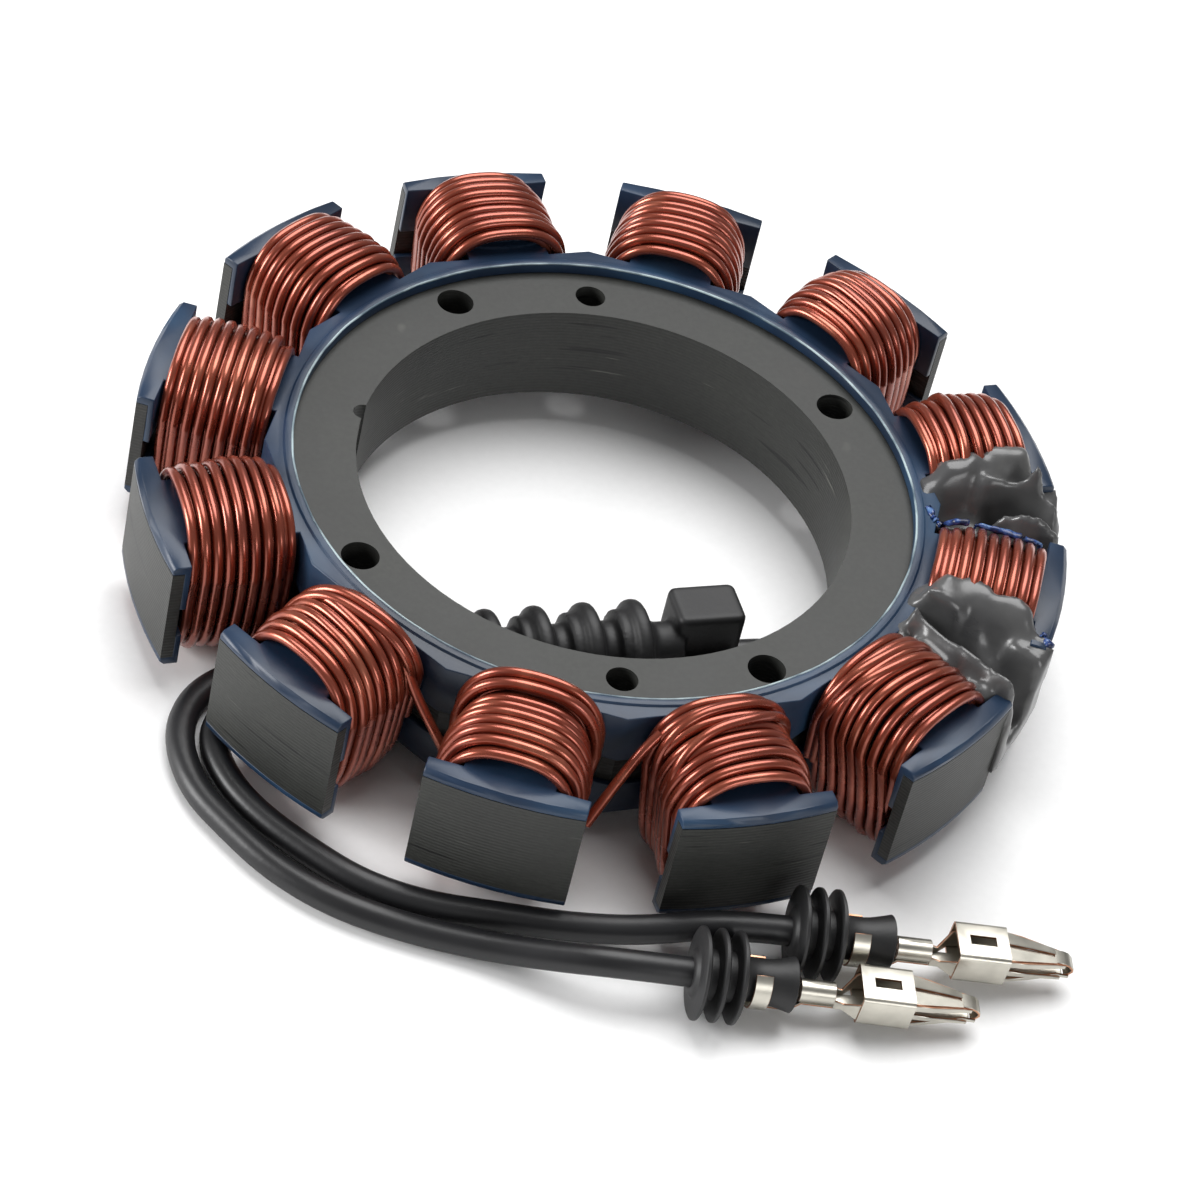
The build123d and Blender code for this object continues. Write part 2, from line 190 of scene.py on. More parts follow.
def coated_laminations():
    """Lamination stack, stamped sheets 0.5 mm thick under black coat: fine level lines, dull grey
    wear, pale scores, and a few sheets that stand open as dark lines."""
    material, tree, shader, place = start_material("coated_steel_laminations")
    clouds = add_node(tree, "ShaderNodeTexNoise",
                      {"Vector": place, "Scale": 70.0, "Detail": 6.0, "Roughness": 0.6})
    wear = add_node(tree, "ShaderNodeValToRGB", {"Fac": clouds.outputs["Fac"]})
    steel = tuple(bpy.context.scene.stator_colours.steel)
    set_ramp(wear, [(0.32, "#232422"), (0.6, steel), (0.82, "#343531")])
    grain = add_node(tree, "ShaderNodeTexNoise", {"Vector": place, "Scale": 1600.0, "Detail": 2.0})
    speckle = add_node(tree, "ShaderNodeMapRange",
                       {"Value": grain.outputs["Fac"], "From Min": 0.35, "From Max": 0.75,
                        "To Min": 0.86, "To Max": 1.14})
    tone = add_node(tree, "ShaderNodeVectorMath",
                    {0: wear.outputs["Color"], 1: speckle.outputs["Result"]}, operation="MULTIPLY")
    # Pale scores, long and slightly tilted
    tilted = add_node(tree, "ShaderNodeMapping",
                      {"Vector": place, "Rotation": (0.1, 0.06, 0.3), "Scale": (110.0, 110.0, 2600.0)})
    scores = add_node(tree, "ShaderNodeTexNoise",
                      {"Vector": tilted.outputs["Vector"], "Scale": 1.0, "Detail": 2.0})
    bright = add_node(tree, "ShaderNodeMapRange",
                      {"Value": scores.outputs["Fac"], "From Min": 0.7, "From Max": 0.78, "To Max": 0.55})
    scored = add_node(tree, "ShaderNodeMix", {"Factor": bright.outputs["Result"]}, data_type="RGBA")
    tree.links.new(tone.outputs[0], scored.inputs[6])
    scored.inputs[7].default_value = linear("#77776f")
    # Open sheets, on the upright faces only
    level = add_node(tree, "ShaderNodeMapping", {"Vector": place, "Scale": (70.0, 70.0, 1500.0)})
    bands = add_node(tree, "ShaderNodeTexNoise",
                     {"Vector": level.outputs["Vector"], "Scale": 1.0, "Detail": 1.0})
    split = add_node(tree, "ShaderNodeMapRange",
                     {"Value": bands.outputs["Fac"], "From Min": 0.69, "From Max": 0.73})
    facing = add_node(tree, "ShaderNodeNewGeometry")
    lean = add_node(tree, "ShaderNodeSeparateXYZ", {"Vector": facing.outputs["Normal"]})
    upright = add_node(tree, "ShaderNodeMath", {0: lean.outputs["Z"], 1: 0.0, 2: 0.5}, operation="COMPARE")
    opened = add_node(tree, "ShaderNodeMath",
                      {0: split.outputs["Result"], 1: upright.outputs[0]}, operation="MULTIPLY")
    body = add_node(tree, "ShaderNodeMix", {"Factor": opened.outputs[0]}, data_type="RGBA")
    tree.links.new(scored.outputs[2], body.inputs[6])
    body.inputs[7].default_value = linear("#0d0d0d")
    tree.links.new(body.outputs[2], shader.inputs["Base Color"])
    rough = add_node(tree, "ShaderNodeMapRange",
                     {"Value": clouds.outputs["Fac"], "To Min": 0.42, "To Max": 0.62})
    tree.links.new(rough.outputs["Result"], shader.inputs["Roughness"])
    # One fine line for each sheet
    apart = add_node(tree, "ShaderNodeSeparateXYZ", {"Vector": place})
    sheets = add_node(tree, "ShaderNodeMath", {0: apart.outputs["Z"], 1: 2 * pi / SHEET},
                      operation="MULTIPLY")
    lines = add_node(tree, "ShaderNodeMath", {0: sheets.outputs[0]}, operation="SINE")
    height = add_node(tree, "ShaderNodeMath", {0: lines.outputs[0], 1: grain.outputs["Fac"]},
                      operation="ADD")
    bump = add_node(tree, "ShaderNodeBump",
                    {"Height": height.outputs[0], "Strength": 0.3, "Distance": 0.04 * MM})
    tree.links.new(bump.outputs["Normal"], shader.inputs["Normal"])
    return material


def moulded_nylon():
    """Glass-filled nylon, injection moulded: navy blue, satin, paler in the flow lines."""
    blue = tuple(bpy.context.scene.stator_colours.insulator)
    return dress("moulded_blue_nylon", [(0.3, "#152335"), (0.55, blue), (0.85, "#2c4a66")],
                 {"colour": (45.0, 4.0, 0.6), "relief": (1400.0, 2.0, 0.0)},
                 rough=(0.3, 0.46), relief=(0.2, 0.05 * MM),
                 constants={"Specular IOR Level": 0.38, "Coat Weight": 0.08, "Coat Roughness": 0.25})


def poured_resin():
    """Epoxy potting, poured by hand: dark grey, wet gloss, dull dust in the hollows."""
    return dress("poured_epoxy", [(0.3, "#434344"), (0.62, "#525252"), (0.85, "#646461")],
                 {"colour": (110.0, 5.0, 0.8), "relief": (300.0, 3.0, 0.0)},
                 rough=(0.2, 0.42), relief=(0.1, 0.3 * MM),
                 constants={"Coat Weight": 0.2, "Coat Roughness": 0.18})


def black_rubber(name, colour, rough, grain_scale):
    """Carbon-black elastomer, moulded or extruded: matt to satin with fine grain and dusty bloom."""
    dusty = (*(1.7 * channel for channel in linear(colour)[:3]), 1.0)
    return dress(name, [(0.35, colour), (0.8, dusty)],
                 {"colour": (90.0, 5.0, 0.0), "relief": (grain_scale, 2.0, 0.0)},
                 rough=rough, relief=(0.3, 0.08 * MM))


def tin_plate():
    """Tin-plated copper alloy, stamped and folded: pale warm metal with soft handling marks."""
    return dress("tin_plated_strip", [(0.3, "#aeaba1"), (0.7, "#c9c5ba")], {"colour": (260.0, 3.0, 0.0)},
                 rough=(0.22, 0.42), relief=(0.15, 0.1 * MM), constants={"Metallic": 1.0})


def bare_copper_edge():
    """Cut edge of the plated strip, where the copper alloy shows through."""
    return dress("cut_copper_edge", [(0.3, "#9a6a50"), (0.7, "#c39a80")], {"colour": (700.0, 3.0, 0.0)},
                 rough=0.35, constants={"Metallic": 1.0})


def paint_lip_highlight():
    """Painted highlight: a pale blue-grey line that stands in for the light caught along the lip's rounded
    edge.
    """
    # pale colour painted on as the highlight along the lip's edge
    return dress("painted_highlight_on_lip", [(0.4, "#4a5c68"), (0.6, "#9fb0b4")], {"colour": (160.0, 3.0, 0.0)},
                 rough=0.35)


def blue_varnish():
    """Winding varnish, brushed on: clear blue, glossy, broken."""
    return dress("blue_varnish", [(0.4, "#141e3c"), (0.56, "#263f78"), (0.74, "#5f82ac")],
                 {"colour": (900.0, 3.0, 0.0)}, rough=0.3)


def pale_paper():
    """Seamless white paper sweep, matt."""
    return dress("white_paper", [(0.3, (0.93, 0.93, 0.93, 1.0)), (0.7, (0.95, 0.95, 0.95, 1.0))],
                 {"colour": (900.0, 2.0, 0.0)}, rough=0.9, constants={"Specular IOR Level": 0.1})


MAKERS = {
    "enamelled_copper": enamelled_copper,
    "core_steel": coated_laminations,
    "blue_plastic": moulded_nylon,
    "resin": poured_resin,
    "black_rubber": lambda: black_rubber("moulded_black_rubber", "#151516", (0.42, 0.62), 1500.0),
    "lead_jacket": lambda: black_rubber("extruded_black_jacket", "#131315", (0.34, 0.5), 1100.0),
    "tinned_metal": tin_plate,
}
finishes = {}


def finish_for(slot):
    """Return the material of a slot, made on first use."""
    if slot not in finishes:
        finishes[slot] = MAKERS[slot]()
    return finishes[slot]


# Tools shared by the operators


def clear_selection():
    """Leave nothing selected and nothing in edit mode."""
    if bpy.context.mode != "OBJECT":
        bpy.ops.object.mode_set(mode="OBJECT")
    bpy.ops.object.select_all(action="DESELECT")


def pick(piece):
    """Select one object and make it the active one."""
    clear_selection()
    piece.select_set(True)
    bpy.context.view_layer.objects.active = piece


def edit_all():
    """Enter edit mode with everything selected."""
    bpy.ops.object.mode_set(mode="EDIT")
    bpy.ops.mesh.select_all(action="SELECT")


def close_outwards():
    """Point all faces outwards and leave edit mode."""
    bpy.ops.mesh.select_all(action="SELECT")
    bpy.ops.mesh.normals_make_consistent(inside=False)
    bpy.ops.object.mode_set(mode="OBJECT")


def round_off(piece, degrees):
    """Shade a piece smooth, but for edges sharper than an angle."""
    pick(piece)
    bpy.ops.object.shade_smooth_by_angle(angle=radians(degrees))


def settle(piece, name, slot, *nodes):
    """Apply a piece's place, name it, give it its finish, and fix it to the frame."""
    pick(piece)
    bpy.ops.object.transform_apply(location=True, rotation=True, scale=True)
    piece.name = name
    piece.data.name = name
    if not piece.data.materials:
        piece.data.materials.append(finish_for(slot))
    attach(piece, "root")
    if nodes:
        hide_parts(*nodes)
    return piece


def apply_modifier(piece, kind, **settings):
    """Add one modifier with its settings and apply it."""
    pick(piece)
    made = piece.modifiers.new(kind.title(), kind)
    for name, value in settings.items():
        setattr(made, name, value)
    bpy.ops.object.modifier_apply(modifier=made.name)


def copy_of_node(node):
    """Return a merged copy of a CAD node's mesh as a new object."""
    piece = bpy.data.objects.new(node + "_copy", frame["nodes"][node].data.copy())
    bpy.context.scene.collection.objects.link(piece)
    piece.data.materials.clear()
    pick(piece)
    edit_all()
    bpy.ops.mesh.remove_doubles(threshold=0.01 * MM)
    close_outwards()
    return piece


def join_pieces(parts):
    """Join objects into the first of them."""
    clear_selection()
    for part in parts:
        part.select_set(True)
    bpy.context.view_layer.objects.active = parts[0]
    bpy.ops.object.join()
    return parts[0]


def wire(name, routes, radius, rounds=2, steps=3):
    """Return a curve object with one round wire along each route, a list of points in metres."""
    clear_selection()
    bpy.ops.curve.primitive_nurbs_path_add(location=(0, 0, 0))
    piece = bpy.context.active_object
    curve = piece.data
    curve.splines.clear()
    curve.dimensions = "3D"
    for route in routes:
        spline = curve.splines.new("NURBS")
        spline.points.add(len(route) - 1)
        for point, place in zip(spline.points, route):
            point.co = (*place, 1.0)
        spline.order_u = 3
        spline.use_endpoint_u = True
        spline.resolution_u = steps
    curve.resolution_u = steps
    curve.bevel_depth = radius
    curve.bevel_resolution = rounds
    curve.use_fill_caps = True
    piece.name = name
    return piece


def to_mesh(piece):
    """Turn a curve object into a mesh with smooth shading."""
    pick(piece)
    bpy.ops.object.convert(target="MESH")
    bpy.ops.object.shade_smooth()
    return piece


# Where the photograph was taken from, with the lens in millimetres
CAMERA_PLACE = (0.01673, -0.39915, 0.36679)
CAMERA_AXES = ((0.96310, -0.26797, 0.02498), (0.20065, 0.65307, -0.73024), (0.17937, 0.70831, 0.68274))
SENSOR = 36
LENS = 126.93


class STATOR_OT_camera(bpy.types.Operator):
    """Place the camera at the photograph's viewing angle"""

    bl_idname = "stator.camera"
    bl_label = "Camera"

    def execute(self, context):
        clear_selection()
        bpy.ops.object.camera_add()
        camera = context.active_object
        camera.name = "photo_camera"
        camera.matrix_world = Matrix.Translation(CAMERA_PLACE) @ Matrix(CAMERA_AXES).to_4x4()
        camera.data.sensor_width = SENSOR
        camera.data.lens = LENS
        context.scene.camera = camera
        return {"FINISHED"}


# The leads' and tails' middle lines, in millimetres, with the height over the resting height
OUTER_ROUTE = [
    (-16.86, -26.07, 0), (-20.32, -27.87, 0), (-25.2, -27.0, 0), (-30.7, -28.2, 0),
    (-36.5, -32.8, 0), (-40.9, -38.9, 0), (-41.1, -46.4, 0), (-36.8, -54.0, 0),
    (-30.8, -58.6, 0), (-24.4, -62.8, 0), (-16.6, -65.6, 0), (-7.9, -66.4, 0),
    (1.0, -66.2, 0.3), (9.9, -66.6, 2.3), (18.5, -66.8, 4.7), (26.2, -64.8, 4.2),
]
INNER_ROUTE = [
    (-15.11, -29.44, 0), (-18.39, -31.15, 0), (-22.6, -31.4, 0), (-28.0, -31.3, 0),
    (-33.2, -34.9, 0), (-36.8, -40.0, 0), (-36.9, -45.9, 0), (-33.3, -51.4, 0),
    (-28.2, -55.5, 0), (-21.4, -58.8, 0), (-14.2, -61.6, 0), (-6.0, -62.2, 0),
    (2.6, -60.7, 0), (11.4, -59.5, 0.3), (19.9, -58.7, 2.3), (28.2, -56.4, 4.7),
    (36.3, -54.2, 4.2),
]
TAIL_A_ROUTE = [(20.57, -6.58, 0), (24.3, -4.65, 0), (28.3, -3.6, 0), (32.2, -5.2, 0),
                (36.13, -7.72, 0), (40.29, -8.83, 0)]
TAIL_B_ROUTE = [(22.33, -9.96, 0), (25.52, -8.29, 0), (28.4, -7.7, 0), (31.6, -9.3, 0),
                (35.25, -11.41, 0), (39.3, -12.5, 0)]
LEADS = {"outer": OUTER_ROUTE, "inner": INNER_ROUTE}


def floor_route(points):
    """Turn points given in millimetres above the leads' resting height into metres."""
    return [(x * MM, y * MM, LEAD_HEIGHT + z * MM) for x, y, z in points]


class STATOR_OT_leads(bpy.types.Operator):
    """Lay the two leads on the floor, and the two short tails into the resin"""

    bl_idname = "stator.leads"
    bl_label = "Leads"

    def execute(self, context):
        radius = context.scene.stator_sizes.lead_radius
        made = {}
        for name, points in (("lead_outer", OUTER_ROUTE), ("lead_inner", INNER_ROUTE),
                             ("tail_a", TAIL_A_ROUTE), ("tail_b", TAIL_B_ROUTE)):
            piece = wire(name + "_jacket", [floor_route(points)], radius, rounds=6, steps=8)
            made[name] = settle(piece, name + "_jacket", "lead_jacket", name)
        nodes_on_cord["outer"] += [made["tail_a"], made["tail_b"]]
        return {"FINISHED"}


# Pieces that sit on each lead, and the leads' jackets by name
nodes_on_cord = {"outer": [], "inner": []}


class STATOR_OT_declare_leads(bpy.types.Operator):
    """Do nothing: no lead's length, thickness, exit or pieces are stated here"""

    bl_idname = "stator.declare_leads"
    bl_label = "Declare leads"

    def execute(self, context):
        return {"FINISHED"}


# Each coil: how far each turn of the outer layer stands out or in, from the yoke to the shoe,
# and how far its turns slant across the tooth, in millimetres
COIL_FORMS = {
    1: ([-0.3, 0.2, 0.1, -0.1, 0.1, 0.0, -0.2, -0.5, -0.9], 0.5),
    2: ([-0.9, -0.2, 0.1, 0.1, 0.0, -0.1, -0.2, -0.4, -0.9], -0.3),
    3: ([-0.9, -0.4, -0.1, 0.1, 0.2, 0.0, -0.1, -0.5, -1.0], 1.2),
    4: ([-1.0, -0.5, -0.3, -0.2, 0.1, 0.1, 0.1, -0.2, -0.8], 0.4),
    5: ([-1.0, -0.6, -0.1, 0.0, -0.1, 0.0, 0.0, 0.0, -0.3], -0.2),
    6: ([-0.6, 0.2, 0.2, 0.0, 0.0, 0.1, 0.0, -0.1, -0.5], 1.3),
    7: ([-0.3, 0.2, -0.1, -0.3, -0.1, 0.0, 0.1, -0.2, -0.6], -0.9),
    8: ([0.0, 0.1, -0.9, -0.3, -0.1, 0.1, 0.0, -0.1, -0.9], 0.2),
    9: ([-1.2, -0.3, 0.0, 0.2, 0.0, -0.1, 0.0, -0.3, -0.7], 0.9),
    10: ([-1.2, -0.2, 0.0, 0.1, 0.1, 0.0, -0.1, -0.1, -0.5], 0.5),
    11: ([-1.0, -0.1, 0.0, 0.1, 0.0, 0.1, -0.1, -0.3, -0.6], -0.4),
    12: ([-0.9, -0.2, 0.1, 0.0, 0.1, 0.0, -0.1, -0.3, -0.7], 0.6),
}


# Height of the bends where a turn's arch meets its straight sides, over the coil's middle
BEND = 4.0 * MM
# Share of its width that a turn has at its lower bends
LOWER_SHARE = 0.93
# How square an arch is, where 2 is round, and the angle in degrees at which it ends
ARCH_SQUARENESS = 2.6
ARCH_END = 80.0
# Points on half of the lower arch and of the upper arch, and the shares of the straight side
# between them where it has points
LOWER_STEPS = 6
UPPER_STEPS = 8
SIDE_SHARES = (0.1, 0.5, 0.9, 0.97)
# Room under the turns, and how far a point of a turn strays along the tooth
FLOOR_ROOM = 0.2 * MM
SCATTER = 0.03 * MM


def arch(part):
    """Return how far out and how high a turn's arch is, as shares, from its top (part 0) to its
    bend (part 1, or -1 on the other side)."""
    power = 2 / ARCH_SQUARENESS
    end = radians(ARCH_END)
    a = abs(part) * end
    out = (sin(a) / sin(end))**power * (1 if part > 0 else -1)
    return out, (cos(a)**power - cos(end)**power) / (1 - cos(end)**power)


def turn_section(width, upper, lower):
    """Return one turn's section, from its lower middle up one side and down the other: an arch
    above, straight sides, and a flatter arch below."""
    side = []
    for step in range(LOWER_STEPS + 1):
        out, height = arch(step / LOWER_STEPS)
        side.append((LOWER_SHARE * width * out, -BEND - (lower - BEND) * height))
    side += [(LOWER_SHARE * width + (1 - LOWER_SHARE) * width * part, -BEND + 2 * BEND * part)
             for part in SIDE_SHARES]
    for step in range(UPPER_STEPS + 1):
        out, height = arch(1 - step / UPPER_STEPS)
        side.append((width * out, BEND + (upper - BEND) * height))
    return side + [(-x, z) for x, z in side[-2:0:-1]]


def pole_directions(number):
    """Return a pole's outward and sideways directions."""
    a = pole_angle(number)
    return Vector((cos(a), sin(a), 0)), Vector((-sin(a), cos(a), 0))


def turn_points(number, level, build, slant, chance):
    """Return the points of one turn round a tooth. It moves on along the tooth on one side only."""
    outwards, sideways = pole_directions(number)
    half_height = COIL_HALF_HEIGHT + min(build, 0.0)
    half_width = COIL_HALF + min(build, 0.0)
    section = turn_section(half_width, half_height + max(build, 0.0), half_height - FLOOR_ROOM)
    points = []
    for x, z in section:
        part = min(1.0, max(0.0, (BEND - z) / (2 * BEND))) if x < 0 else 0.0
        along = level[0] + (level[1] - level[0]) * part + slant * x / COIL_HALF * max(z, 0.0) / half_height
        place = outwards * (along + SCATTER * chance.uniform(-1, 1)) + sideways * x
        points.append((place.x, place.y, COIL_MIDDLE + z))
    return points


# Turns that lie over the outer layer: where each starts and ends along the tooth and across it,
# as shares of the coil's length and half width, and how far it stands out, in millimetres
STRAY_TURNS = {
    4: [((0.3, -0.7), (0.42, 0.95), 0.7)],
    6: [((0.0, -0.97), (0.34, 0.7), 0.9), ((0.08, -0.97), (0.5, 0.55), 0.7)],
    7: [((0.1, 0.98), (0.62, -0.86), 1.0), ((0.02, 0.98), (0.3, -0.98), 0.8)],
    8: [((0.0, 0.99), (0.0, -0.99), 0.9), ((0.13, 0.97), (0.16, -0.97), 0.8)],
    9: [((0.5, -0.95), (0.1, 0.86), 0.9), ((0.36, -0.97), (0.0, 0.9), 1.0)],
}


STRAY_STEPS = 16


def stray_points(number, start, stop, lift, radius):
    """Return the points of a turn that crosses over the coil's arch, with an end tucked down on
    each side."""
    outwards, sideways = pole_directions(number)
    length = COIL_OUTER - COIL_INNER - 2 * radius
    points = []
    for step in range(-2, STRAY_STEPS + 3):
        part = min(1.0, max(0.0, step / STRAY_STEPS))
        below = max(0, -step, step - STRAY_STEPS)
        along = COIL_INNER + radius + length * (start[0] + (stop[0] - start[0]) * part)
        ease = sin(pi * part)**0.35
        out, height = arch(start[1] + (stop[1] - start[1]) * part)
        x = (COIL_HALF - radius + (lift * ease * 0.5 - 0.35 * below) * MM) * out
        top = COIL_HALF_HEIGHT - radius + lift * MM * (ease - 0.25)
        z = BEND + (top - BEND) * height - 3.5 * MM * below
        place = outwards * along + sideways * x
        points.append((place.x, place.y, COIL_MIDDLE + z))
    return points


def coil_routes(number, turns, radius, chance):
    """Return the routes of a coil's outer layer, of the layer under it and of its stray turns."""
    forms, slant = COIL_FORMS[number]
    first = COIL_INNER + radius
    last = COIL_OUTER - radius
    pitch = (last - first) / (turns - 1)
    outer = []
    for turn in range(turns):
        build = forms[turn % len(forms)] * MM - radius + chance.uniform(-0.12, 0.1) * MM
        start = first + turn * pitch
        stop = first + min(turn + 1, turns - 1) * pitch
        fade = sin(pi * (turn + 0.5) / turns)
        outer += turn_points(number, (start, stop), build, slant * MM * fade, chance)
    under = []
    for turn in range(turns - 1):
        start = first + (turn + 0.5) * pitch
        under += turn_points(number, (start, start + pitch), -3.0 * radius, slant * 0.5 * MM, chance)
    strays = [stray_points(number, *stray, radius) for stray in STRAY_TURNS.get(number, [])]
    return [outer, under, *strays]


class STATOR_OT_coils(bpy.types.Operator):
    """Wind the twelve coils, each from one wire in two visible layers"""

    bl_idname = "stator.coils"
    bl_label = "Coils"

    def execute(self, context):
        sizes = context.scene.stator_sizes
        for number in range(1, 13):
            chance = random.Random(40 + number)
            routes = coil_routes(number, sizes.coil_turns, sizes.wire_radius, chance)
            piece = wire(f"winding_{number:02d}", routes, sizes.wire_radius, rounds=2, steps=3)
            to_mesh(piece)
            settle(piece, f"winding_{number:02d}", "enamelled_copper", f"coil_{number:02d}")
        return {"FINISHED"}


# The crossover wires' middle lines, in millimetres
CROSSOVER_ROUTES = {
    "crossover_a": [(-18.2, -41.9, 17.2), (-17.0, -42.1, 16.0), (-15.6, -42.6, 13.9), (-14.2, -43.1, 11.6),
                    (-12.4, -44.1, 9.5), (-10.5, -45.0, 7.4), (-9.0, -45.4, 5.4)],
    "crossover_b": [(15.4, -42.6, 15.2), (14.6, -43.6, 14.4), (13.6, -44.8, 13.0), (12.2, -46.8, 10.4),
                    (10.7, -49.0, 7.3), (9.7, -50.4, 5.0)],
}


class STATOR_OT_crossovers(bpy.types.Operator):
    """Run the two bare crossover wires between neighbouring coils"""

    bl_idname = "stator.crossovers"
    bl_label = "Crossovers"

    def execute(self, context):
        for name, points in CROSSOVER_ROUTES.items():
            route = [(x * MM, y * MM, z * MM) for x, y, z in points]
            radius = context.scene.stator_sizes.wire_radius
            piece = to_mesh(wire(name + "_wire", [route], radius, rounds=3, steps=8))
            settle(piece, name + "_wire", "enamelled_copper", name)
        return {"FINISHED"}


class STATOR_OT_frame_finishes(bpy.types.Operator):
    """Give each CAD node that stays in view its own finish"""

    bl_idname = "stator.frame_finishes"
    bl_label = "Frame finishes"

    def execute(self, context):
        slots = {row["node"]: row["material_slot"] for row in frame["record"]["subparts"]}
        for name, node in frame["nodes"].items():
            node.data.materials.clear()
            node.data.materials.append(finish_for(slots[name]))
            pick(node)
        clear_selection()
        return {"FINISHED"}


class STATOR_OT_insulators(bpy.types.Operator):
    """Round the insulators' edges as a mould leaves them"""

    bl_idname = "stator.insulators"
    bl_label = "Insulators"

    def execute(self, context):
        for node in ("upper_insulator", "lower_insulator"):
            piece = copy_of_node(node)
            apply_modifier(piece, "DECIMATE", decimate_type="DISSOLVE", angle_limit=radians(2))
            apply_modifier(piece, "BEVEL", width=0.3 * MM, segments=2, limit_method="ANGLE",
                           angle_limit=radians(50), use_clamp_overlap=True)
            round_off(piece, 35)
            settle(piece, node + "_moulding", "blue_plastic", node)
        return {"FINISHED"}


# Resin in each slot: the slot's angle and the poles on its two sides, how far it covers their
# coils at the yoke, at the shoe and on the cap, the height and slope of its valley, how far its
# outer foot rises, and its folds, each from and to (outwards, sideways) with a height and a
# width, in millimetres
RESIN_FORMS = {
    "potting_a": {
        "angle": 15.0, "poles": (4, 5), "cover": ((3.0, 4.4, 0.5), (0.5, 0.9, 0.9)),
        "valley": 10.4, "slope": 0.5, "foot": 2.0,
        "folds": [((49.5, 3.6), (55.6, 3.6), 4.4, 0.9), ((55.6, 3.6), (58.6, 1.0), 5.2, 0.8),
                  ((51.0, -0.8), (58.6, -3.0), 4.8, 0.8), ((53.4, -2.6), (56.0, -3.2), 2.6, 1.0),
                  ((56.6, 1.4), (57.0, 0.7), -6.4, 0.8), ((50.6, 2.0), (51.0, 0.8), -5.4, 0.7),
                  ((52.6, 1.6), (55.4, 1.0), -3.0, 0.9), ((43.0, 1.5), (47.0, 4.0), 1.4, 1.2)],
    },
    "potting_b": {
        "angle": -15.0, "poles": (5, 6), "cover": ((4.4, 3.0, 0.9), (1.3, 1.8, 0.3)),
        "valley": 5.4, "slope": 1.35, "foot": 8.0,
        "folds": [((43.0, -0.9), (58.6, -5.2), 10.5, 1.25), ((45.6, 1.4), (57.0, -2.4), -4.6, 0.8),
                  ((55.5, 4.0), (58.8, 3.6), 2.6, 1.2), ((54.6, -0.6), (58.8, 1.4), -3.6, 1.0),
                  ((42.6, 2.4), (47.5, 3.2), 3.8, 1.0), ((50.0, 3.8), (54.0, 1.6), 1.6, 0.8)],
    },
}
# The grid that is draped: its inner and outer ends, half its width, and its squares
RESIN_INNER = 40.8
RESIN_OUTER = 60.0
RESIN_HALF = 14.0
GRID_ACROSS = 40
GRID_ALONG = 58
# What the resin lies on, in millimetres: the ring's edge and top, the caps' edge and top, and
# the shoes' outer face
RING_EDGE = 42.2
RING_TOP = 15.1
CAP_EDGE = 56.3
CAP_TOP = 15.0
SHOE_FACE = 58.7
# How square a coil's outline is to the resin on it, how thick the resin lies there, how deep it
# reaches in, how far it drops past its edge, and how much its folds are raised
COIL_SQUARENESS = 2.9
SKIN = 1.0
SKIN_DEPTH = 3.5
EDGE_DROP = -2.5
FOLD_GAIN = 1.2


def waver(x, y, z):
    """Return smooth noise at a place, from about -1 to 1."""
    return noise.noise(Vector((x, y, z)))


def fold_height(folds, s, t):
    """Return what the folds add to the resin at a place in its slot."""
    total = 0.0
    for (s0, t0), (s1, t1), height, width in folds:
        run = ((s1 - s0)**2 + (t1 - t0)**2)
        part = max(0.0, min(1.0, ((s - s0) * (s1 - s0) + (t - t0) * (t1 - t0)) / run))
        gap = ((s - s0 - part * (s1 - s0))**2 + (t - t0 - part * (t1 - t0))**2) / width**2
        total += height * 2.718**(-gap)
    return total


def resin_heights(form, s, t):
    """Return the resin's upper and lower heights and the folds' height at a place in its slot, in
    millimetres, and whether there is resin there."""
    a = radians(form["angle"])
    x, y = s * cos(a) - t * sin(a), s * sin(a) + t * cos(a)
    part = (s - 43.0) / 13.0
    upper = form["valley"] + 0.6 * waver(s * 0.55, t * 0.55, 1.65) + form["slope"] * max(0.0, t + 1.0)
    if s < 43.4:
        climb = min(1.0, (43.4 - s) / 1.6)
        upper = upper * (1 - climb) + 15.3 * climb
    lower = FLOOR / MM + 0.4 + form["foot"] * max(0.0, (s - 53.0) / 7.0)
    bare = 99.0
    outside = False
    for number, (near, far, cap) in zip(form["poles"], form["cover"]):
        outwards, sideways = pole_directions(number)
        along = x * outwards.x + y * outwards.y
        lateral = x * sideways.x + y * sideways.y
        reach = min(1.0, abs(lateral) / (COIL_HALF / MM))
        height = (COIL_MIDDLE + COIL_HALF_HEIGHT * (1 - reach**COIL_SQUARENESS)**(1 / COIL_SQUARENESS)) / MM
        limit = near + (far - near) * part + 1.6 * waver(s * 0.6, t * 0.4, number * 9.0)
        if along > CAP_EDGE:
            height = CAP_TOP
            limit = cap + 0.5 * waver(s * 0.6, t * 0.6, number * 5.0)
        if along < RING_EDGE:
            height = RING_TOP
        inwards = COIL_HALF / MM + (lateral if number == form["poles"][0] else -lateral)
        if inwards > 0:
            outside = outside or along > SHOE_FACE
            skin = height + max(EDGE_DROP, SKIN * min(1.0, (limit - inwards) / 1.2))
            upper = skin if inwards > 1.5 else max(upper, skin)
            lower = height - SKIN_DEPTH
            bare = min(bare, limit - inwards)
    crest = fold_height(form["folds"], s, t) * max(0.0, min(1.0, bare / 1.4))
    if s < 43.2:
        upper = min(upper, RING_TOP + 0.5 * (s - RESIN_INNER))
        crest *= max(0.0, (s - 42.0) / 1.2)
    return upper, lower, crest, bare > -0.9 and not outside


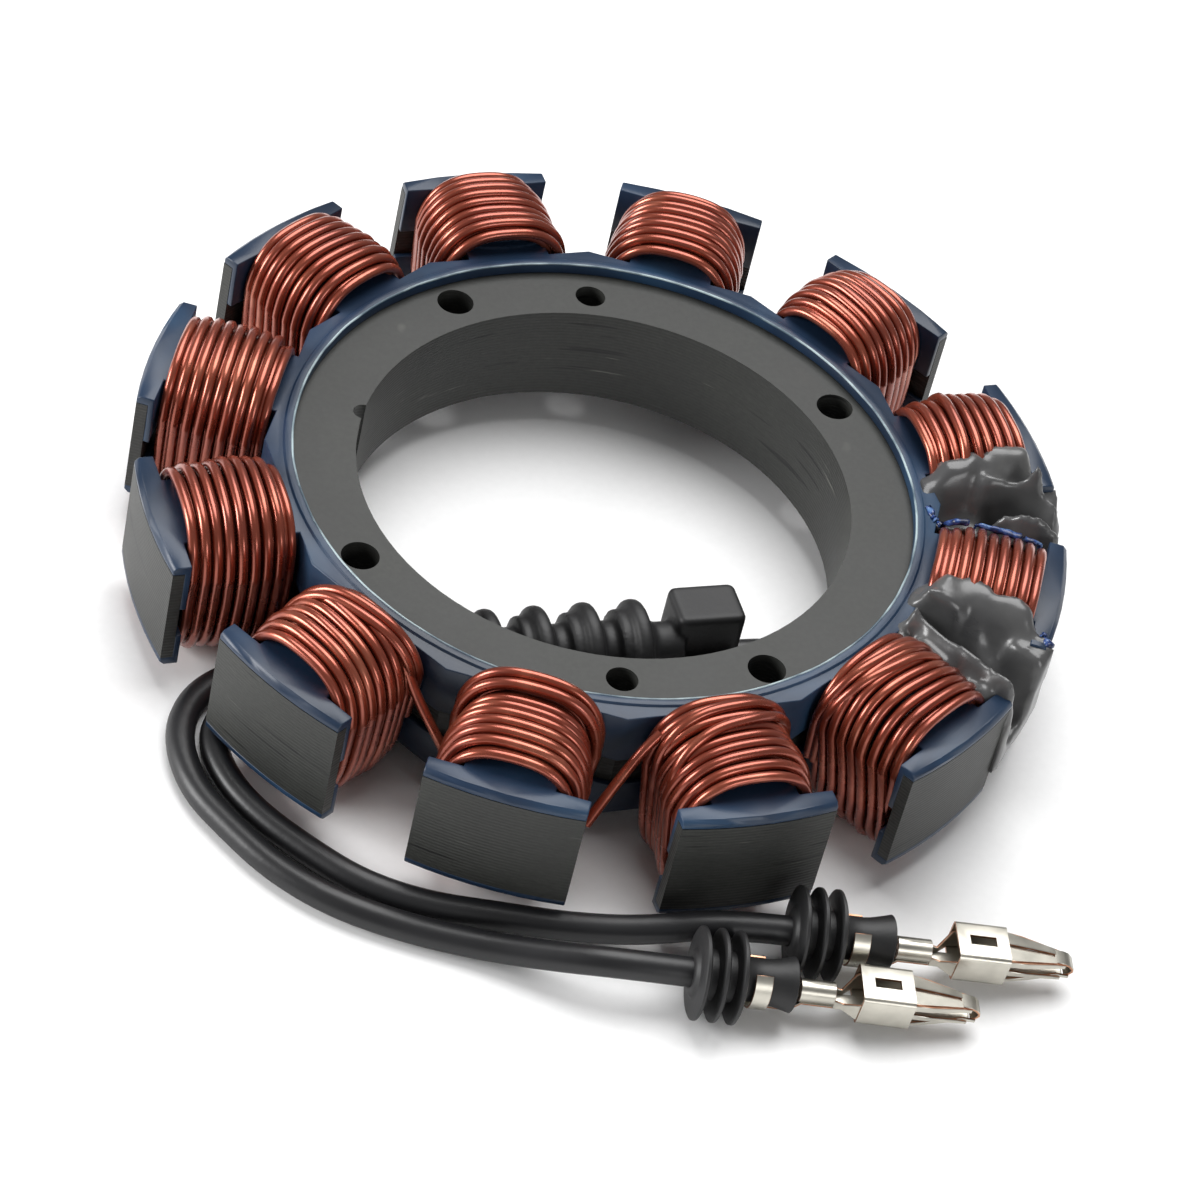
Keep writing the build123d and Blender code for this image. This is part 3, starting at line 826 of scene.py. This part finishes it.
def soften(heights, rounds):
    """Even out a grid's heights, as surface tension does, by averaging each with its neighbours."""
    row = GRID_ACROSS + 1
    for _ in range(rounds):
        softer = []
        for index, upper in enumerate(heights):
            near = [index]
            near += [index - 1] if index % row > 0 else []
            near += [index + 1] if index % row < row - 1 else []
            near += [index - row] if index >= row else []
            near += [index + row] if index + row < len(heights) else []
            mean = sum(heights[i] for i in near) / len(near)
            softer.append(0.3 * upper + 0.7 * mean)
        heights = softer
    return heights


class STATOR_OT_potting(bpy.types.Operator):
    """Pour the resin over the joints between coils 4, 5 and 6: a grid is draped over the coils,
    closed below and melted together"""

    bl_idname = "stator.potting"
    bl_label = "Potting"

    def execute(self, context):
        for node, form in RESIN_FORMS.items():
            piece = self.draped_shell(form)
            apply_modifier(piece, "REMESH", mode="VOXEL", use_smooth_shade=True,
                           voxel_size=context.scene.stator_sizes.resin_voxel)
            apply_modifier(piece, "SMOOTH", factor=0.5, iterations=3)
            for vertex in piece.data.vertices:
                fold = noise.noise(vertex.co * 200.0) * 0.3 + noise.noise(vertex.co * 520.0) * 0.07
                vertex.co += vertex.normal * (fold * MM)
            apply_modifier(piece, "SMOOTH", factor=0.5, iterations=2)
            for vertex in piece.data.vertices:
                vertex.co.z = min(max(vertex.co.z, FLOOR + 0.05 * MM), COIL_TOP + 0.9 * MM)
            settle(piece, node + "_resin", "resin", node)
        return {"FINISHED"}

    def draped_shell(self, form):
        """Drape a grid over a slot, cut it back to where there is resin, and close it below."""
        clear_selection()
        bpy.ops.mesh.primitive_grid_add(x_subdivisions=GRID_ACROSS, y_subdivisions=GRID_ALONG, size=1.0)
        piece = bpy.context.active_object
        places = [((v.co.x + 0.5) * (RESIN_OUTER - RESIN_INNER) + RESIN_INNER, v.co.y * 2 * RESIN_HALF)
                  for v in piece.data.vertices]
        poured = [resin_heights(form, s, t) for s, t in places]
        uppers = soften([upper for upper, _, _, _ in poured], rounds=4)
        uppers = soften([upper + FOLD_GAIN * crest for upper, (_, _, crest, _) in zip(uppers, poured)],
                        rounds=2)
        a = radians(form["angle"])
        lowers = {}
        for vertex, (s, t), upper, (_, lower, _, _) in zip(piece.data.vertices, places, uppers, poured):
            top = min(upper, COIL_TOP / MM + 0.85)
            vertex.co = Vector((s * cos(a) - t * sin(a), s * sin(a) + t * cos(a), top)) * MM
            lowers[tuple(vertex.co)] = min(lower, top - 0.8) * MM
        bpy.ops.object.mode_set(mode="EDIT")
        bpy.ops.mesh.select_all(action="DESELECT")
        edit = bmesh.from_edit_mesh(piece.data)
        for vertex, (_, _, _, kept) in zip(edit.verts, poured):
            vertex.select = not kept
        bpy.ops.mesh.delete(type="VERT")
        bpy.ops.mesh.select_all(action="SELECT")
        bpy.ops.mesh.extrude_region_move(TRANSFORM_OT_translate={"value": (0, 0, 0)})
        edit = bmesh.from_edit_mesh(piece.data)
        for vertex in edit.verts:
            if vertex.select:
                vertex.co.z = lowers[tuple(vertex.co)]
        close_outwards()
        return piece


# Smears of blue varnish left beside the resin, each a run of (outwards, sideways, height) from
# a pole's middle line, with the smear's radius, in millimetres
SMEARS = {
    "upper_smear_a": (5, [(42.6, 7.8, 14.9), (43.4, 6.9, 16.5), (44.6, 6.6, 17.1), (45.6, 6.9, 17.1)],
                      0.34),
    "upper_smear_b": (5, [(46.4, 6.8, 17.0), (48.2, 7.1, 16.9), (49.8, 6.9, 17.1), (51.2, 7.3, 16.9),
                          (52.4, 7.0, 17.0)], 0.38),
    "upper_smear_c": (5, [(53.0, 7.4, 16.6), (54.2, 7.3, 16.5), (55.0, 7.6, 16.2)], 0.3),
    "ring_smear": (5, [(40.4, 9.9, 15.3), (40.9, 8.8, 15.3), (41.4, 7.9, 15.2), (42.4, 7.4, 15.1)], 0.36),
    "cap_smear": (5, [(57.6, -7.6, 15.2), (58.2, -8.3, 15.1), (58.6, -9.0, 14.7)], 0.5),
}


class STATOR_OT_smears(bpy.types.Operator):
    """Smear the blue varnish along the edges of the resin"""

    bl_idname = "stator.smears"
    bl_label = "Varnish smears"

    def execute(self, context):
        varnish = blue_varnish()
        for name, (number, points, radius) in SMEARS.items():
            outwards, sideways = pole_directions(number)
            route = [(outwards * s + sideways * t + Vector((0, 0, z))) * MM for s, t, z in points]
            piece = to_mesh(wire(name, [route], radius * MM, rounds=3, steps=10))
            for vertex in piece.data.vertices:
                vertex.co += vertex.normal * (0.7 * MM * noise.noise(vertex.co * 700.0))
            piece.data.materials.append(varnish)
            settle(piece, name, "resin")
        return {"FINISHED"}


# The ring of painted highlight along the lip: its radius and the thickness of its line
LIP_RADIUS = 39.85 * MM
HIGHLIGHT_RADIUS = 0.16 * MM


class STATOR_OT_lip_highlight(bpy.types.Operator):
    """Lay a thin pale line of painted highlight along the upper insulator's inner lip"""

    bl_idname = "stator.lip_flash"
    bl_label = "Lip highlight"

    def execute(self, context):
        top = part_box("upper_insulator")[1][2]
        clear_selection()
        bpy.ops.mesh.primitive_torus_add(major_radius=LIP_RADIUS, minor_radius=HIGHLIGHT_RADIUS,
                                         major_segments=240, minor_segments=8,
                                         location=(0, 0, top - HIGHLIGHT_RADIUS / 2))
        piece = context.active_object
        for vertex in piece.data.vertices:
            spread = noise.noise(Vector((vertex.co.x, vertex.co.y, 0)) * 260.0)
            vertex.co.x *= 1 + 0.002 * spread
            vertex.co.y *= 1 + 0.002 * spread
        bpy.ops.object.shade_smooth()
        # the pale ring is painted highlight on the lip's edge, not a part of the insulator
        piece.data.materials.append(paint_lip_highlight())
        settle(piece, "lip_flash", "blue_plastic")
        return {"FINISHED"}


def turned(profile, segments):
    """Turn a profile, (along, radius) in millimetres, about local X: a ring extruded and resized."""
    clear_selection()
    first, radius = profile[0]
    bpy.ops.mesh.primitive_circle_add(vertices=segments, radius=radius * MM, fill_type="NOTHING",
                                      location=(first * MM, 0, 0), rotation=(0, pi / 2, 0))
    bpy.ops.object.transform_apply(location=True, rotation=True, scale=True)
    edit_all()
    for (a, r), (b, s) in zip(profile, profile[1:]):
        bpy.ops.mesh.extrude_region_move(TRANSFORM_OT_translate={"value": ((b - a) * MM, 0, 0)})
        bpy.ops.transform.resize(value=(1, s / r, s / r), center_override=(b * MM, 0, 0))
    bpy.ops.mesh.select_all(action="SELECT")
    bpy.ops.mesh.fill_holes(sides=0)
    close_outwards()
    return bpy.context.active_object


def end_frame(points, along):
    """Return the matrix of a lead's end: local X runs on along the lead and Z is upwards."""
    route = [Vector(p) for p in floor_route(points)]
    line = (route[-1] - route[-2]).normalized()
    level = Vector((-line.y, line.x, 0)).normalized()
    upwards = line.cross(level)
    turn = Matrix((line, level, upwards)).transposed().to_4x4()
    return Matrix.Translation(route[-1] + line * along * MM) @ turn


# A seal's ribbed length and its tail, and its fins: the first one's place, their pitch and one
# fin's profile about its middle, in millimetres
SEAL_LENGTH = 6.45
SEAL_TAIL = 6.0
FIN_COUNT = 3
FIN_START = 0.95
FIN_PITCH = 2.25
FIN_PROFILE = [(-0.5, 3.0), (-0.42, 3.4), (-0.36, 5.25), (-0.18, 5.58), (0.0, 5.6), (0.18, 5.58),
               (0.36, 5.25), (0.42, 3.4), (0.5, 3.0)]
TAIL_PROFILE = [(0.0, 2.95), (0.4, 2.6), (2.0, 2.6), (3.4, 2.75), (5.1, 3.15), (5.85, 3.35),
                (5.98, 3.2), (6.0, 1.2)]


class STATOR_OT_seals(bpy.types.Operator):
    """Turn the two ribbed wire seals, each with three thin soft fins and a flared tail"""

    bl_idname = "stator.seals"
    bl_label = "Seals"

    def execute(self, context):
        profile = [(0.0, 1.85), (0.05, 2.6), (0.3, 2.9)]
        for fin in range(FIN_COUNT):
            profile += [(FIN_START + FIN_PITCH * fin + along, radius) for along, radius in FIN_PROFILE]
        profile += [(SEAL_LENGTH + along, radius) for along, radius in TAIL_PROFILE]
        for side, points in LEADS.items():
            piece = turned(profile, 48)
            piece.data.transform(end_frame(points, 0.0))
            round_off(piece, 50)
            settle(piece, f"seal_{side}_fins", "black_rubber", f"seal_{side}")
            nodes_on_cord[side].append(piece)
        return {"FINISHED"}


def bent_strip(rows):
    """Bend a strip through rows, each the two ends of its width in local millimetres: a plane's
    far edge is extruded from row to row."""
    clear_selection()
    bpy.ops.mesh.primitive_plane_add(size=1.0)
    piece = bpy.context.active_object
    corners = [Vector(end) * MM for row in rows[:2] for end in row]
    for vertex, corner in zip(piece.data.vertices, corners):
        vertex.co = corner
    bpy.ops.object.mode_set(mode="EDIT")
    bpy.ops.mesh.select_mode(type="VERT")
    bpy.ops.mesh.select_all(action="DESELECT")
    edit = bmesh.from_edit_mesh(piece.data)
    edit.verts.ensure_lookup_table()
    for index in (2, 3):
        edit.verts[index].select = True
    edit.select_flush_mode()
    for before, row in zip(rows[1:], rows[2:]):
        bpy.ops.mesh.extrude_region_move(TRANSFORM_OT_translate={"value": (0, 0, 0)})
        edit = bmesh.from_edit_mesh(piece.data)
        start = Vector(before[0]) * MM
        ends = sorted((v for v in edit.verts if v.select), key=lambda v: (v.co - start).length)
        for end, place in zip(ends, row):
            end.co = Vector(place) * MM
        bmesh.update_edit_mesh(piece.data)
    bpy.ops.object.mode_set(mode="OBJECT")
    return piece


def arc_rows(radius, start, stop, steps, low, high):
    """Return strip rows round local X, from one angle in degrees to another."""
    rows = []
    for step in range(steps + 1):
        a = radians(start + (stop - start) * step / steps)
        y, z = radius * cos(a), radius * sin(a)
        rows.append(((low, y, z), (high, y, z)))
    return rows


def flat_rows(path, half):
    """Return strip rows along a path of (x, z), level from side to side."""
    return [((x, -half, z), (x, half, z)) for x, z in path]


def terminal_sheets():
    """Return the strips of a crimp terminal in millimetres: floor, wings, crimp, neck, spring
    beams."""
    floor_path = [(-5.3, -3.25), (0.2, -3.25), (1.4, -1.9), (8.2, -1.9), (14.2, -1.9)]
    sheets = [flat_rows(floor_path, 1.1)]
    sheets.append(arc_rows(3.22, -90, 12, 10, -5.3, -3.2))
    sheets.append(arc_rows(3.22, -90, -240, 10, -5.3, -3.2))
    for turn in (-1, 1):
        crimp = []
        for step in range(11):
            a = radians(-90 + turn * step * 24)
            reach = 1.25 if step < 9 else 0.75
            y, z = reach * cos(a), -0.65 + reach * sin(a)
            crimp.append(((0.9, y, z), (5.2, y, z)))
        sheets.append(crimp)
        side = 1.1 * turn
        sheets.append([((5.2, side, -1.9), (5.2, side, -0.6)), ((6.4, side, -1.9), (6.4, side, -1.0)),
                       ((8.0, 2.4 * turn, -1.9), (8.0, 2.4 * turn, 0.6)),
                       ((10.5, 2.5 * turn, -1.7), (10.5, 2.5 * turn, 1.5))])
        # the upper beam's side, and the two lances that cross behind it
        sheets.append([((13.8, 2.35 * turn, 0.8), (13.8, 2.35 * turn, 1.75)),
                       ((16.5, 2.1 * turn, 0.6), (16.5, 2.1 * turn, 1.45)),
                       ((20.6, 1.2 * turn, 0.3), (20.6, 1.2 * turn, 0.95)),
                       ((21.8, 1.0 * turn, 0.2), (21.8, 1.0 * turn, 0.75))])
        sheets.append([((13.8, 2.5 * turn, -0.5), (13.8, 2.5 * turn, 0.35)),
                       ((17.0, 2.0 * turn, -1.0), (17.0, 2.0 * turn, -0.35)),
                       ((20.6, 1.3 * turn, -1.5), (20.6, 1.3 * turn, -1.0)),
                       ((21.6, 1.2 * turn, -1.55), (21.6, 1.2 * turn, -1.15))])
        sheets.append([((13.8, 2.4 * turn, -1.95), (13.8, 2.4 * turn, -1.45)),
                       ((17.5, 1.7 * turn, -1.75), (17.5, 1.7 * turn, -1.25)),
                       ((21.0, 1.0 * turn, -1.3), (21.0, 1.0 * turn, -0.85)),
                       ((22.6, 1.15 * turn, -1.2), (22.6, 1.15 * turn, -0.75))])
        # a rib of the upper beam
        sheets.append([((13.6, 0.3 * turn, 1.9), (13.6, 2.35 * turn, 1.75)),
                       ((15.0, 0.3 * turn, 1.75), (15.0, 2.2 * turn, 1.6)),
                       ((20.6, 0.25 * turn, 1.05), (20.6, 1.2 * turn, 0.95))])
    sheets.append([((13.6, -0.4, 1.5), (13.6, 0.4, 1.5)), ((20.6, -0.35, 0.75), (20.6, 0.35, 0.75))])
    nose = [(20.4, 0.95), (21.6, 0.85), (22.3, 0.6), (22.8, 0.15), (22.9, -0.3), (22.6, -0.7),
            (22.0, -0.95)]
    sheets.append(flat_rows(nose, 1.05))
    sheets.append([((13.4, -1.9, -1.95), (13.4, 1.9, -1.95)), ((15.0, -1.8, -1.95), (15.0, 1.8, -1.95)),
                   ((22.0, -0.8, -1.4), (22.0, 0.8, -1.4))])
    return sheets


# The strip's thickness, the box's place past the seal and its size between the strip's middles
STRIP = 0.34 * MM
BOX_PLACE = (11.1 * MM, 0, 0)
BOX_SIZE = (6.4 * MM, 5.66 * MM, 4.26 * MM)


class STATOR_OT_terminals(bpy.types.Operator):
    """Stamp and fold the two crimp terminals, with copper showing along their cut edges"""

    bl_idname = "stator.terminals"
    bl_label = "Terminals"

    def execute(self, context):
        copper_edge = bare_copper_edge()
        for side, points in LEADS.items():
            place = end_frame(points, SEAL_LENGTH + SEAL_TAIL)
            piece = join_pieces([bent_strip(rows) for rows in terminal_sheets()])
            piece.data.materials.clear()
            self.thicken(piece, copper_edge)
            apply_modifier(piece, "BEVEL", width=0.06 * MM, segments=1, limit_method="ANGLE",
                           angle_limit=radians(50))
            box = self.folded_box()
            self.thicken(box, copper_edge)
            for part, node, name in ((piece, "terminal", "strip"), (box, "sleeve", "box")):
                part.data.transform(place)
                round_off(part, 40)
                settle(part, f"{node}_{side}_{name}", "tinned_metal", f"{node}_{side}")
            nodes_on_cord[side] += [piece, box]
        return {"FINISHED"}

    def thicken(self, sheet, copper_edge):
        """Give a folded sheet its plating and its thickness, with copper along its cut edges."""
        sheet.data.materials.append(finish_for("tinned_metal"))
        sheet.data.materials.append(copper_edge)
        apply_modifier(sheet, "SOLIDIFY", thickness=STRIP, offset=0.0, material_offset_rim=1)

    def folded_box(self):
        """Fold the box of a terminal with rounded bends and the window in its top."""
        clear_selection()
        bpy.ops.mesh.primitive_cube_add(size=1.0, location=BOX_PLACE, scale=BOX_SIZE)
        box = bpy.context.active_object
        bpy.ops.object.transform_apply(location=True, rotation=True, scale=True)
        bpy.ops.object.mode_set(mode="EDIT")
        bpy.ops.mesh.select_mode(type="FACE")
        bpy.ops.mesh.select_all(action="DESELECT")
        edit = bmesh.from_edit_mesh(box.data)
        for face in edit.faces:
            face.select = abs(face.normal.x) > 0.9
        bpy.ops.mesh.delete(type="FACE")
        bpy.ops.mesh.select_all(action="DESELECT")
        edit = bmesh.from_edit_mesh(box.data)
        for edge in edit.edges:
            line = edge.verts[0].co - edge.verts[1].co
            edge.select = abs(line.x) > 5 * MM
        bpy.ops.mesh.bevel(offset=0.55 * MM, segments=4)
        bpy.ops.mesh.select_all(action="DESELECT")
        edit = bmesh.from_edit_mesh(box.data)
        for face in edit.faces:
            face.select = face.normal.z > 0.99
        bpy.ops.mesh.inset(thickness=1.55 * MM)
        bpy.ops.mesh.delete(type="FACE")
        bpy.ops.object.mode_set(mode="OBJECT")
        return box


class STATOR_OT_grommet(bpy.types.Operator):
    """Mould the ribbed grommet with its rounded ribs, head and boot"""

    bl_idname = "stator.grommet"
    bl_label = "Grommet"

    def execute(self, context):
        piece = copy_of_node("grommet")
        apply_modifier(piece, "REMESH", mode="VOXEL", voxel_size=0.3 * MM, use_smooth_shade=True)
        apply_modifier(piece, "SMOOTH", factor=0.5, iterations=5)
        settle(piece, "grommet_moulding", "black_rubber", "grommet")
        nodes_on_cord["outer"].append(piece)
        return {"FINISHED"}


# Disc lights aimed at the bore: place and size in metres, and power in watts
LAMPS = (
    ("overhead_softbox", (0.0, 0.4, 0.95), 1.0, 13.6),
    ("left_fill", (-1.1, -0.3, 0.36), 0.6, 15.0),
    ("front_fill", (0.8, -0.9, 0.4), 0.5, 3.2),
)
SKY_STRENGTH = 0.24


class STATOR_OT_stage(bpy.types.Operator):
    """Lay the paper floor and set the studio lights"""

    bl_idname = "stator.stage"
    bl_label = "Stage"

    def execute(self, context):
        clear_selection()
        bpy.ops.mesh.primitive_plane_add(size=6.0, location=(0, 0, FLOOR))
        paper = context.active_object
        paper.name = "paper_floor"
        bpy.ops.object.transform_apply(location=True, rotation=True, scale=True)
        paper.data.materials.append(pale_paper())
        context.scene.view_settings.view_transform = "Standard"
        world = bpy.data.worlds.new("studio")
        context.scene.world = world
        world.use_nodes = True
        tree = world.node_tree
        tree.nodes["Background"].inputs["Color"].default_value = (1.0, 1.0, 1.0, 1.0)
        tree.nodes["Background"].inputs["Strength"].default_value = SKY_STRENGTH
        for name, place, size, power in LAMPS:
            bpy.ops.object.light_add(type="AREA", location=place)
            lamp = context.active_object
            lamp.name = name
            lamp.data.shape = "DISK"
            lamp.data.size = size
            lamp.data.energy = power
            lamp.rotation_euler = (Vector((0, 0, 0)) - Vector(place)).to_track_quat("-Z", "Y").to_euler()
        clear_selection()
        return {"FINISHED"}


class STATOR_PT_panel(bpy.types.Panel):
    """Stator tools in the sidebar"""

    bl_label = "Wound stator"
    bl_idname = "STATOR_PT_panel"
    bl_space_type = "VIEW_3D"
    bl_region_type = "UI"
    bl_category = "Stator"

    def draw(self, context):
        layout = self.layout
        for name in ("wire_radius", "coil_turns", "lead_radius", "resin_voxel"):
            layout.prop(context.scene.stator_sizes, name)
        for name in ("copper", "insulator", "steel"):
            layout.prop(context.scene.stator_colours, name)
        for tool in OPERATORS:
            layout.operator(tool.bl_idname)


OPERATORS = (
    STATOR_OT_camera, STATOR_OT_leads, STATOR_OT_frame_finishes, STATOR_OT_coils,
    STATOR_OT_crossovers, STATOR_OT_insulators, STATOR_OT_lip_highlight, STATOR_OT_potting, STATOR_OT_smears,
    STATOR_OT_grommet, STATOR_OT_seals, STATOR_OT_terminals, STATOR_OT_declare_leads,
    STATOR_OT_stage,
)
CLASSES = (StatorSizes, StatorColours, *OPERATORS, STATOR_PT_panel)


def register():
    """Register the classes and the scene's settings."""
    for made in CLASSES:
        bpy.utils.register_class(made)
    bpy.types.Scene.stator_sizes = PointerProperty(type=StatorSizes)
    bpy.types.Scene.stator_colours = PointerProperty(type=StatorColours)


def unregister():
    """Remove the settings and the classes."""
    del bpy.types.Scene.stator_colours
    del bpy.types.Scene.stator_sizes
    for made in reversed(CLASSES):
        bpy.utils.unregister_class(made)


def main():
    """Make every piece in order."""
    register()
    bpy.ops.stator.camera()
    bpy.ops.stator.leads()
    bpy.ops.stator.frame_finishes()
    bpy.ops.stator.coils()
    bpy.ops.stator.crossovers()
    bpy.ops.stator.insulators()
    bpy.ops.stator.lip_flash()
    bpy.ops.stator.potting()
    bpy.ops.stator.smears()
    bpy.ops.stator.grommet()
    bpy.ops.stator.seals()
    bpy.ops.stator.terminals()
    bpy.ops.stator.declare_leads()
    bpy.ops.stator.stage()


if __name__ == "__main__":
    main()
